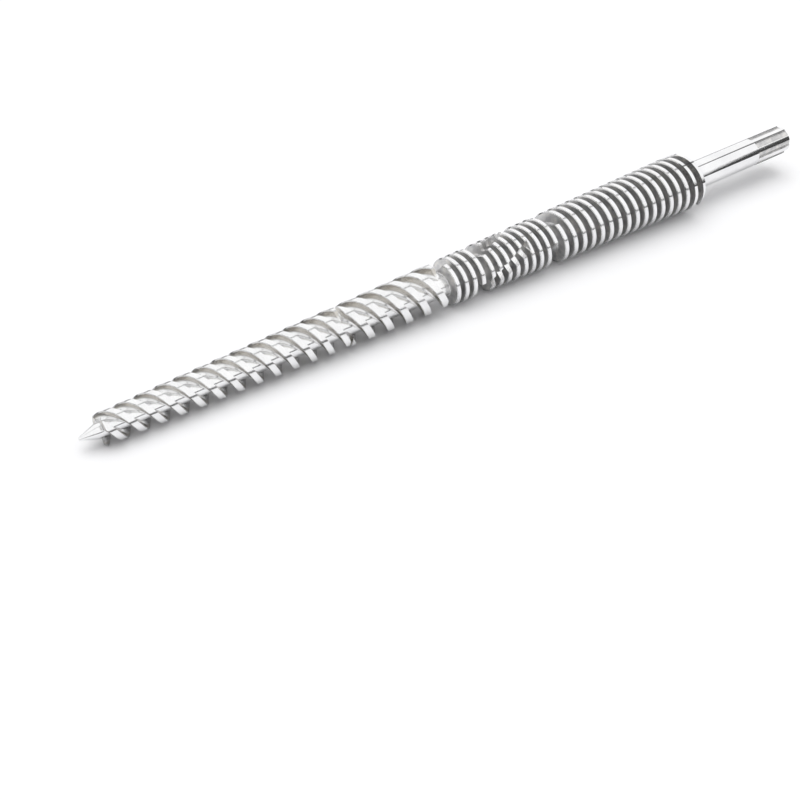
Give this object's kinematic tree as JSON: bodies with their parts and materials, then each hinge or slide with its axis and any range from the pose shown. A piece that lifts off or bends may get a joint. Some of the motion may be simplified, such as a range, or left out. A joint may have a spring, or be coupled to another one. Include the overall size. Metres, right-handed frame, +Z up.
{
  "type": "conical extruder screw",
  "caption": "Solid tapered extruder screw with wound flights in zones of changing pitch, cross slots, a blunt nose and a splined drive shaft, lying on its flights.",
  "frame": {"origin": "on the ground under the middle of the screw's length", "axes": "+X towards the splined drive end, +Z up; the screw's axis rises 1.39 degrees towards the drive end because the tapered flights rest along their underside"},
  "size_m": [1.6832, 0.12, 0.1195],
  "materials": {
    "screw_steel": "fine turned and milled, satin"
  },
  "bodies": {
    "root": {"extruder_screw": "screw_steel"}
  },
  "joints": []
}
